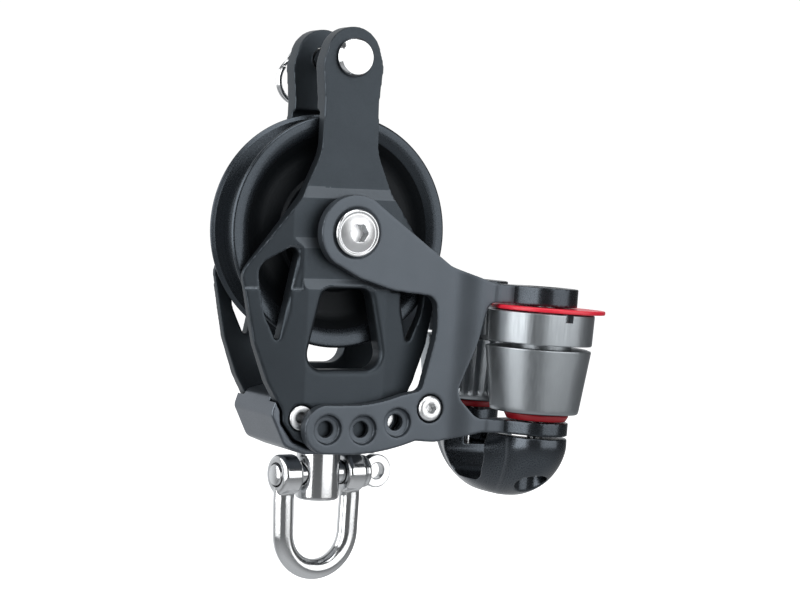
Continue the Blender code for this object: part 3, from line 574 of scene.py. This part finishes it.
def make_becket_pin():
    """Flat head with a chamfer, a rounded end and a cross hole. All but the head's face is polished."""
    near = EAR_OUTER + GAP
    top, end = near + BECKET_HEAD, -BECKET_PIN_END
    head = [(0, top), (4.3, top), (4.42, top - 0.03), (4.52, top - 0.1), (5.0, near + 0.75),
            (5.08, near + 0.6), (BECKET_HEAD_R, near + 0.45), (BECKET_HEAD_R, near + 0.15), (5.0, near)]
    profile = head + [(BECKET_PIN_R, near), (BECKET_PIN_R, end + 1.2), (2.9, end + 0.8), (2.6, end + 0.35),
                      (2.1, end + 0.08), (1.6, end), (0, end)]
    body = turned(profile, 96, axis="Y", centre=(0, 0, BECKET_Z))
    cut(body, cylinder(RING_HOLE_R, -8, 8, axis="X", centre=(0, RING_Y, BECKET_Z)))
    return second_paint(baked(eased_edges(body, 0.12, 2, 50)),
                        lambda centre, normal: centre.y > -near - BECKET_HEAD + 0.04)


def make_split_ring():
    """1.7 turns of wire. The single strand at the top hangs in the pin's cross hole."""
    turns, points, middle = 1.7, 170, BECKET_Z + RING_LIFT - RING_R
    path = []
    for i in range(points + 1):
        angle = 2 * math.pi * turns * i / points + math.radians(144)
        spread = (i / points - 0.5) * 2 * RING_WIRE_R * 1.25 * turns
        path.append((RING_R * math.cos(angle), RING_Y + spread, middle + RING_R * math.sin(angle)))
    return eased_edges(tube(path, RING_WIRE_R, 16), 0.12, 2, 60)


# ---------------------------------------------------------------- cleat arms


def polar(radius, degrees):
    """A point at a radius from the sheave's axis, at an angle from straight down towards +X."""
    return radius * math.sin(math.radians(degrees)), -radius * math.cos(math.radians(degrees))


def arm_outline():
    """Round hub, upper limb, web and the strap that curves back under the cheek."""
    top_low, top_high = TOP_LUG_Z
    foot_low, foot_high = LOW_LUG_Z
    hub = arc((0, 0), ARM_HUB_R, 235, 50, 30)
    upper = rounded([(12.0, 3.2, 16), (27.0, -6.4, 22), (41.0, top_high, 18), (47.5, top_high, 0),
                     (47.5, top_low, 0), (39.4, top_low, 2.5), (37.0, -26.0, 20), (32.2, -40.5, 5),
                     (38.0, foot_high, 5), (47.5, foot_high, 0), (47.5, foot_low, 0), (40.0, foot_low, 8),
                     (27.5, -53.2, 10), (*polar(STRAP_OUT_R, 22), 0)], 10)[18:]
    end_x, end_z = polar(STRAP_HOLE_R, STRAP_HOLE_ANGLES[0])
    outer = [polar(STRAP_OUT_R, a) for a in range(20, 0, -2)]
    end = arc((end_x, end_z), (STRAP_OUT_R - STRAP_IN_R) / 2, 265, 95, 24)
    inner = [polar(STRAP_IN_R, a) for a in range(0, 25, 2)][:-1]
    window = rounded([(18.0, -41.2, 0), (22.3, -39.6, 2.5), (25.6, -24.0, 20), (24.6, -15.0, 3.5),
                      (12.0, -14.2, 20), (2.0, -11.6, 0), (2.0, -30.0, 0)], 10)[1:-1]
    return hub + upper + outer + end + inner + window


def make_arm():
    """The arm on the -Y side. Its web curves outwards to the lugs, which take the second material."""
    body = plate(arm_outline(), -ARM_OUTER, -ARM_INNER)
    outside, inside = arc((CLEAT_X, -CLEAT_Y), LUG_R, 222, 132, 1)
    neck = bezier((37.5, -ARM_OUTER + 0.8), (44.0, -ARM_OUTER - 0.6), (46.2, -20.5), outside, 14)
    neck += [(CLEAT_X - 2, -CLEAT_Y)]
    neck += list(reversed(bezier((39.5, -ARM_INNER - 0.6), (45.0, -14.2), (47.8, -13.8), inside, 10)))
    for low, high in (TOP_LUG_Z, LOW_LUG_Z):
        join(body, cylinder(LUG_R, low, high, 96, centre=(CLEAT_X, -CLEAT_Y, 0)))
        join(body, plate(neck, low, high, axis="Z"))
    top = TOP_LUG_Z[1]
    spot = (CLEAT_X, -CLEAT_Y, 0)
    cut(body, cylinder(CAM_PIVOT_R + GAP, -60, 0, centre=spot))
    sink = [(0, top + 1), (5.0, top + 1), (5.0, top - 1.0), (CAM_PIVOT_R, top - 3.0), (0, top - 3.0)]
    cut(body, turned(sink, 64, centre=spot))
    cut(body, cylinder(AXLE_R + GAP, 10, 25, 64, axis="Y"))
    cut(body, cylinder(BOLT_HEAD_R + 0.6, ARM_OUTER - 0.35, 25, 64, axis="Y"))
    for angle in STRAP_HOLE_ANGLES:
        x, z = polar(STRAP_HOLE_R, angle)
        cut(body, cylinder(TIE_R + GAP, 10, 25, axis="Y", centre=(x, 0, z)))
        cut(body, cylinder(TIE_HEAD_R + 0.4, ARM_OUTER - 1.5, 25, axis="Y", centre=(x, 0, z)))
    forged(body)
    bulge, out_from, back_from, lug_from = 2.0, 29, 41, 46
    for vertex in body.data.vertices:
        x = vertex.co.x
        vertex.co.y -= bulge * eased(0, 1, (x - out_from) / 9) * eased(1, 0, (x - back_from) / 6)
    return second_paint(body, lambda centre, normal: centre.x > lug_from)


def make_tie_bolt():
    """Socket-head bolt through the last angle hole of both arms."""
    x, z = polar(STRAP_HOLE_R, STRAP_HOLE_ANGLES[3])
    seat, face = TIE_SEAT_Y, TIE_SEAT_Y + 1.8
    profile = [(0, face), (2.5, face), (2.8, face - 0.08), (3.25, face - 0.55), (TIE_HEAD_R, face - 0.85),
               (TIE_HEAD_R, seat), (TIE_R, seat), (TIE_R, -seat), (0, -seat)]
    body = turned(profile, 64, axis="Y", centre=(x, 0, z))
    cut(body, plate(circle((x, z), 1.45, 6), -25, -seat + 0.2))
    return eased_edges(body, 0.12, 2, 40)


def make_tie_nut():
    """Round nut on the tie bolt's far end."""
    x, z = polar(STRAP_HOLE_R, STRAP_HOLE_ANGLES[3])
    low = TIE_SEAT_Y + GAP
    profile = [(0, -low), (TIE_HEAD_R, -low), (TIE_HEAD_R, -low - 0.7), (3.25, -low - 1.0),
               (2.7, -low - 1.25), (0, -low - 1.3)]
    return eased_edges(turned(profile, 64, axis="Y", centre=(x, 0, z)), 0.1, 2, 60)


# ---------------------------------------------------------------- cams


def eased(start, end, share):
    """A value that moves smoothly from start to end as share goes from 0 to 1."""
    share = max(0.0, min(1.0, share))
    return start + (end - start) * share * share * (3 - 2 * share)


def cam_reach(degrees):
    """The cam's radius about its pivot. 90 degrees faces the other cam, 180 faces the sheave."""
    if degrees < 58:
        return eased(CAM_BACK_R, CAM_NOSE_R, (degrees + 20) / 78)
    if degrees < 135:
        return eased(CAM_NOSE_R, CAM_THROAT_R, (degrees - 30) / 120)
    if degrees < 220:
        return eased(CAM_THROAT_R, CAM_TAIL_R, (degrees - 135) / 30)
    return eased(CAM_TAIL_R, CAM_BACK_R, (degrees - 220) / 60)


def cam_ring(scale, height, depth):
    """One level of the cam, with pointed teeth of this depth over the gripping part."""
    points = []
    steps = 240
    for i in range(steps):
        degrees = i * 360 / steps
        if degrees > 340:
            degrees -= 360
        reach = cam_reach(degrees) * scale
        strength = max(0.0, min(1.0, (degrees - 40) / 14, (172 - degrees) / 14))
        reach -= depth * strength * abs((degrees / 6) % 2 - 1)
        angle = math.radians(degrees)
        points.append((CLEAT_X + reach * math.cos(angle), -CLEAT_Y + reach * math.sin(angle), height))
    return points


def make_cam():
    """Upper flange with a notch, a slot over a round core, and the tapered toothed body under it."""
    base, top = CAM_LOW_Z, CAM_TOP_Z
    low, high = CAM_SLOT_Z
    lower = [(0.80, base, 0), (0.825, base + 0.25, 0), (0.84, base + 1.0, 0), (0.845, base + 1.6, 0),
             (0.86, base + 3.0, CAM_TOOTH), (0.995, low - 0.35, CAM_TOOTH), (0.985, low, CAM_TOOTH)]
    upper = [(scale, height, CAM_TOOTH) for scale, height in (
        (0.985, high), (1.0, high + 0.3), (1.015, top - 0.5), (1.01, top - 0.15), (0.995, top))]
    spot = (CLEAT_X, -CLEAT_Y, 0)
    body = loft([cam_ring(*level) for level in lower])
    join(body, cylinder(8.0, low - 2, high + 2, 64, centre=spot), loft([cam_ring(*level) for level in upper]))
    cut(body, cylinder(CAM_BORE_R, -60, 0, 64, centre=spot))
    cut(body, cylinder(CAM_POCKET_R, top - CAM_POCKET, 0, 64, centre=spot))
    left, right, outside, inside = CLEAT_X - 1.4, CLEAT_X + 1.0, -CLEAT_Y - 20, -CLEAT_Y - 11.5
    notch = [(left, outside), (right, outside), (right, inside), (left, inside)]
    cut(body, plate(notch, CAM_TOP_Z - 2.0, 0, axis="Z"))
    return body


def make_cam_cap():
    """Red cover disc over the cam's spring."""
    outline = []
    for i in range(144):
        degrees = i * 2.5
        reach = CAP_R + CAP_BULGE * max(0.0, math.cos(math.radians(degrees + 20))) ** 2
        angle = math.radians(degrees)
        outline.append((CLEAT_X + reach * math.cos(angle), -CLEAT_Y + reach * math.sin(angle)))
    body = plate(outline, CAM_TOP_Z + GAP, TOP_LUG_Z[0] - GAP, axis="Z")
    cut(body, cylinder(CAM_BORE_R, -60, 0, 64, centre=(CLEAT_X, -CLEAT_Y, 0)))
    return eased_edges(body, 0.3, 4, 40)


def make_cam_washer():
    """Red thrust washer between the cam and the lower lug."""
    top, low = CAM_LOW_Z - GAP, LOW_LUG_Z[1] + GAP
    inner = CAM_PIVOT_R + GAP
    profile = rounded([(inner, top, 0.2), (8.9, top, 0.4), (7.9, low, 0.3), (inner, low, 0.2)], 5)
    return turned(profile, 96, centre=(CLEAT_X, -CLEAT_Y, 0), hollow=True)


def make_cam_pivot():
    """Countersunk screw down through the upper lug, the cam and the lower lug."""
    top, end = TOP_LUG_Z[1], LOW_LUG_Z[0] + 1.6
    profile = [(0, top - 0.3), (4.3, top - 0.3), (4.55, top - 0.4), (4.6, top - 0.9),
               (CAM_PIVOT_R, top - 2.6), (CAM_PIVOT_R, end + 0.4), (2.5, end), (0, end)]
    body = turned(profile, 64, centre=(CLEAT_X, -CLEAT_Y, 0))
    cut(body, plate(circle((CLEAT_X, -CLEAT_Y), 1.9, 6), top - 2.2, top + 1, axis="Z"))
    return eased_edges(body, 0.1, 2, 50)


# ---------------------------------------------------------------- fairlead


def bowl_ring(half_length, radius, waist, height, steps=28):
    """A round-ended outline that spans both cams, wider at its middle, at one height."""
    ring = []
    for side, start in ((-1, 180), (1, 0)):
        for i in range(steps + 1):
            angle = math.radians(start + 180 * i / steps)
            across, along = radius * math.cos(angle), side * half_length + radius * math.sin(angle)
            ring.append((CLEAT_X + across, along, height))
        for k in range(1, 20):
            share = 1 - k / 10
            edge = -side * (radius + (waist - radius) * (1 - share * share))
            ring.append((CLEAT_X + edge, side * half_length * share, height))
    return ring


def make_fairlead():
    """A flared bowl under both lugs, open from end to end for the line."""
    levels = smoothed([(0, CLEAT_Y, LUG_R, 10.5), (3, CLEAT_Y, LUG_R, 12.0), (6.0, 18.4, 8.3, 12.4),
                       (9.0, 16.8, 7.8, 12.0), (12.0, 14.4, 7.0, 10.7), (14.6, 11.2, 5.9, 8.9),
                       (16.5, 7.9, 4.6, 6.3), (17.4, 5.6, 3.4, 3.9)], 4)
    body = loft([bowl_ring(length, radius, waist, FAIRLEAD_TOP_Z - drop)
                 for drop, length, radius, waist in reversed(levels)])
    tunnel = rounded(mirrored([(7.0, -64.4, 6), (11.2, -58.0, 4), (11.2, -49.0, 0)]), 10)
    cut(body, plate(tunnel, CLEAT_X - 20, CLEAT_X + 20, axis="X"))
    for side in (-1, 1):
        spot = (CLEAT_X, side * CLEAT_Y, 0)
        cut(body, cylinder(6.2, LEG_FLOOR_Z, -40, 64, centre=(CLEAT_X, side * 15.5, 0)))
        cut(body, cylinder(LEG_SCREW_R + GAP, -75, -40, 48, centre=spot))
        cut(body, cylinder(LEG_SCREW_HEAD_R + 0.5, -75, LEG_SEAT_Z, 64, centre=spot))
    return forged(body, 0.25, 8)


def make_fairlead_screw():
    """Socket screw up through the fairlead's leg into the lower lug."""
    top, seat, face = LOW_LUG_Z[0] + 1.2, LEG_SEAT_Z - GAP, LEG_SEAT_Z - GAP - 2.0
    shank, head = LEG_SCREW_R, LEG_SCREW_HEAD_R
    profile = [(0, top), (shank - 0.1, top), (shank, top - 0.2), (shank, seat), (head, seat),
               (head, face + 0.6), (head - 0.2, face + 0.3), (head - 0.9, face), (0, face)]
    body = turned(profile, 64, centre=(CLEAT_X, -CLEAT_Y, 0))
    cut(body, plate(circle((CLEAT_X, -CLEAT_Y), 1.4, 6), seat - 5, seat - 0.8, axis="Z"))
    return eased_edges(body, 0.1, 2, 50)


# ---------------------------------------------------------------- swivel and shackle


def make_swivel_post():
    """Round post with eased ends, drilled for the shackle pin."""
    neck, shoulder, end = POST_NECK_R, HEAD_BOTTOM_Z - GAP, POST_BOTTOM_Z
    profile = [(0, -44.6), (neck, -44.6), (neck, shoulder), (5.3, shoulder), (5.65, shoulder - 0.15),
               (POST_R, shoulder - 0.5), (POST_R, end + 1.0), (5.65, end + 0.45), (5.2, end + 0.1),
               (4.8, end), (0, end)]
    body = turned(profile, 96)
    cut(body, cylinder(SHACKLE_PIN_R + GAP, -20, 20, 48, axis="X", centre=(0, 0, SHACKLE_Z)))
    return eased_edges(body, 0.15, 2, 50)


def make_shackle_bow():
    """Bent bar with eyes, blended into one forged surface."""
    eye_x = BOW_HALF_GAP + BOW_WIRE_R
    bend_z = BOW_BOTTOM_Z + eye_x
    path = [(-eye_x, 0, SHACKLE_Z), (-eye_x - 0.2, 0, SHACKLE_Z - 4), (-eye_x - 0.25, 0, SHACKLE_Z - 7),
            (-eye_x - 0.12, 0, (SHACKLE_Z - 7 + bend_z) / 2)]
    path += [(x, 0, z) for x, z in arc((0, bend_z), eye_x, 180, 360, 40)]
    path += [(-x, y, z) for x, y, z in reversed(path[:4])]
    body = tube(path, BOW_WIRE_R - 0.1, 32)
    for side in (-1, 1):
        low, high = sorted((side * BOW_HALF_GAP, side * (BOW_HALF_GAP + 2 * BOW_WIRE_R)))
        edge, near_edge, rim = BOW_EYE_R - 0.9, BOW_EYE_R - 0.3, BOW_EYE_R
        profile = [(0, low), (edge, low), (near_edge, low + 0.3), (rim, low + 0.9),
                   (rim, high - 0.9), (near_edge, high - 0.3), (edge, high), (0, high)]
        join(body, turned(profile, 64, axis="X", centre=(0, 0, SHACKLE_Z)))
    forged(body, 0.24, 6)
    cut(body, cylinder(SHACKLE_PIN_R + GAP, -20, 20, 64, axis="X", centre=(0, 0, SHACKLE_Z)))
    return body


def make_shackle_pin():
    """Pin with a collar and a round drilled tab outside the far eye."""
    outside = BOW_HALF_GAP + 2 * BOW_WIRE_R + GAP
    tab_x = outside + 5.0
    end = [(0, -outside - 0.45), (2.2, -outside - 0.4), (2.7, -outside - 0.2),
            (SHACKLE_PIN_R, -outside + 0.3)]
    collar = [(SHACKLE_PIN_R, outside), (4.2, outside), (4.4, outside + 0.2), (4.4, outside + 1.1),
              (4.1, outside + 1.4), (0, outside + 1.4)]
    body = turned(end + collar, 64, axis="X", centre=(0, 0, SHACKLE_Z))
    tab = arc((tab_x, SHACKLE_Z), 4.5, -120, 120, 40)
    tab += [(outside + 0.4, SHACKLE_Z + 2.6), (outside + 0.4, SHACKLE_Z - 2.6)]
    join(body, plate(tab, -1.3, 1.3))
    cut(body, cylinder(2.1, -5, 5, 48, axis="Y", centre=(tab_x, 0, SHACKLE_Z)))
    return eased_edges(body, 0.35, 3, 40)


# ---------------------------------------------------------------- assembly


def build():
    """Every detailed piece, and paint for the CAD's own pieces that stay in view."""
    place_pair(make_cheek(), "cheek", BLOCK, ("frame", "frame"), (CHEEK, CHEEK_BAND_HIGHLIGHT))
    place(make_head_block(), "head_block_skin", BLOCK, "frame", HEAD, ["head_block"])
    for side, word in ((-1, "left"), (1, "right")):
        place(make_head_bush(side), f"head_bush_{word}_skin", BLOCK, "frame",
              SATIN_STEEL, [f"head_bush_{word}"])
    place(make_sheave(), "sheave_skin", BLOCK, "sheave", (SHEAVE, SHEAVE_DISH_SHADE),
          ["sheave"])
    place(make_centre_bolt(), "centre_bolt_skin", BLOCK, "frame", (SATIN_STEEL, STEEL),
          ["centre_bolt"])
    place(make_centre_nut(), "centre_nut_skin", BLOCK, "frame", (SATIN_STEEL, STEEL),
          ["centre_nut"])
    place(make_becket_pin(), "becket_pin_skin", BLOCK, "becket_pin",
          (SATIN_STEEL, STEEL), ["becket_pin"])
    place(make_split_ring(), "split_ring_skin", BLOCK, "split_ring", STEEL,
          ["split_ring"])

    place_pair(make_arm(), "arm", ARMS, ("frame", "frame"), (ARM, ARM_LUG))
    place(make_tie_bolt(), "tie_bolt_skin", ARMS, "frame", (SATIN_STEEL, STEEL),
          ["tie_bolt"])
    place(make_tie_nut(), "tie_nut_skin", ARMS, "frame", (SATIN_STEEL, STEEL),
          ["tie_nut"])
    cams = ("near_cam", "far_cam")
    fixed = ("frame", "frame")
    place_pair(make_cam(), "cam", ARMS, cams, CAM, 40)
    place_pair(make_cam_cap(), "cam_cap", ARMS, cams, RED)
    place_pair(make_cam_washer(), "cam_washer", ARMS, fixed, RED_DARK)
    place_pair(make_cam_pivot(), "cam_pivot", ARMS, fixed, SATIN_STEEL)
    place_pair(make_fairlead_screw(), "fairlead_screw", ARMS, fixed, STEEL)
    place(make_fairlead(), "fairlead_skin", ARMS, "frame", FAIRLEAD, ["fairlead"])

    place(make_swivel_post(), "swivel_post_skin", SWIVEL, "swivel", STEEL,
          ["swivel_post"])
    place(make_shackle_bow(), "shackle_bow_skin", SWIVEL, "shackle", STEEL,
          ["shackle_bow"], 50)
    place(make_shackle_pin(), "shackle_pin_skin", SWIVEL, "shackle", STEEL,
          ["shackle_pin"])

    inner = {"inner_race": STEEL, "tie_spacer": STEEL, "swivel_nut": STEEL, "near_cam_spring": STEEL,
             "far_cam_spring": STEEL, "near_cam_bush": WHITE_PLASTIC, "far_cam_bush": WHITE_PLASTIC,
             "ball_race_near": WHITE_PLASTIC, "ball_race_far": WHITE_PLASTIC}
    for node, paint in inner.items():
        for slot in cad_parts[node].material_slots:
            slot.link = "OBJECT"
            slot.material = paint


# ---------------------------------------------------------------- floor, light and camera


def add_stage():
    """A pale floor 0.2 m below the becket pin, which throws no light on the block."""
    bm = bmesh.new()
    bmesh.ops.create_circle(bm, cap_ends=True, radius=4.0, segments=96)
    floor = solid(bm)
    floor.name = "floor"
    floor.location.z = -0.200
    paint = bpy.data.materials.new("floor_pale")
    paint.use_nodes = True
    shader = paint.node_tree.nodes["Principled BSDF"]
    shader.inputs["Base Color"].default_value = (0.86, 0.86, 0.87, 1)
    shader.inputs["Roughness"].default_value = 0.9
    shader.inputs["Emission Color"].default_value = (1, 1, 1, 1)
    shader.inputs["Emission Strength"].default_value = 0.92
    floor.data.materials.append(paint)
    floor.visible_diffuse = floor.visible_glossy = False


def add_lamp(name, target, azimuth, elevation, distance, size, power, size_y=None):
    """A soft panel aimed at the target. Azimuth 0 shines from -Y, and 90 from +X."""
    turn, lift = math.radians(azimuth), math.radians(elevation)
    back = Vector((math.sin(turn) * math.cos(lift), -math.cos(turn) * math.cos(lift), math.sin(lift)))
    light = bpy.data.lights.new(name, "AREA")
    light.shape = "RECTANGLE"
    light.size, light.size_y = size, size_y or size
    light.energy = power
    lamp = bpy.data.objects.new(name, light)
    bpy.context.scene.collection.objects.link(lamp)
    lamp.location = target + back * distance
    lamp.rotation_mode = "QUATERNION"
    lamp.rotation_quaternion = (-back).to_track_quat("-Z", "Y")
    lamp.visible_camera = False


def add_world():
    """White to the camera, and a soft grey studio to everything else."""
    world = bpy.data.worlds.new("studio")
    bpy.context.scene.world = world
    world.use_nodes = True
    nodes, links = world.node_tree.nodes, world.node_tree.links
    nodes.clear()
    out = nodes.new("ShaderNodeOutputWorld")
    seen = nodes.new("ShaderNodeBackground")
    seen.inputs["Color"].default_value = (1, 1, 1, 1)
    seen.inputs["Strength"].default_value = 1.05
    felt = nodes.new("ShaderNodeBackground")
    felt.inputs["Strength"].default_value = 1.0
    spot = nodes.new("ShaderNodeTexCoord")
    split = nodes.new("ShaderNodeSeparateXYZ")
    links.new(spot.outputs["Generated"], split.inputs["Vector"])
    both = nodes.new("ShaderNodeMix")
    both.data_type = "RGBA"
    both.blend_type = "LIGHTEN"
    both.inputs[0].default_value = 1.0
    for slot, axis, stops in ((6, "Y", ((0.72, 0.035), (0.95, 0.9))), (7, "Z", ((0.1, 0.60), (0.47, 0.10)))):
        share = nodes.new("ShaderNodeMapRange")
        share.inputs["From Min"].default_value = -1.0
        links.new(split.outputs[axis], share.inputs["Value"])
        ramp = nodes.new("ShaderNodeValToRGB")
        for element, (position, value) in zip(ramp.color_ramp.elements, stops):
            element.position = position
            element.color = (value * 0.96, value * 0.98, value, 1)
        links.new(share.outputs["Result"], ramp.inputs["Fac"])
        links.new(ramp.outputs["Color"], both.inputs[slot])
    links.new(both.outputs[2], felt.inputs["Color"])
    path = nodes.new("ShaderNodeLightPath")
    mix = nodes.new("ShaderNodeMixShader")
    links.new(path.outputs["Is Camera Ray"], mix.inputs["Fac"])
    links.new(felt.outputs["Background"], mix.inputs[1])
    links.new(seen.outputs["Background"], mix.inputs[2])
    links.new(mix.outputs["Shader"], out.inputs["Surface"])


def add_camera(target):
    """A long lens from the photo's side, a little above the target, with the photo's tilt."""
    azimuth, elevation, roll, distance = math.radians(-27.0), math.radians(2.96), math.radians(2.5), 0.6
    back = Vector((math.sin(azimuth) * math.cos(elevation), -math.cos(azimuth) * math.cos(elevation),
                   math.sin(elevation)))
    right = Vector((math.cos(azimuth), math.sin(azimuth), 0))
    up = back.cross(right)
    across = right * math.cos(roll) + up * math.sin(roll)
    above = up * math.cos(roll) - right * math.sin(roll)
    lens = bpy.data.cameras.new("camera")
    lens.sensor_width = 36.0
    lens.lens = 100.75
    lens.clip_start, lens.clip_end = 0.01, 20.0
    camera = bpy.data.objects.new("camera", lens)
    bpy.context.scene.collection.objects.link(camera)
    facing = Matrix((across, above, back)).transposed().to_4x4()
    camera.matrix_world = Matrix.Translation(target + back * distance) @ facing
    bpy.context.scene.camera = camera


def light_scene():
    """Floor, world, camera and lamps, aimed 22 mm towards the cleat and 18 mm below the axle."""
    target = Vector((0.0222, 0, -0.018 - BECKET_Z * MM))
    add_stage()
    add_world()
    add_camera(target)
    add_lamp("front", target, 28, 12, 1.0, 1.15, 6.3, 0.9)
    add_lamp("left", target, -88, 12, 0.9, 1.25, 12.5, 0.9)
    add_lamp("top", target, -14, 74, 0.8, 0.7, 5.0)
    bpy.context.scene.view_settings.view_transform = "Standard"
    bpy.context.scene.view_settings.look = "None"


build()
light_scene()
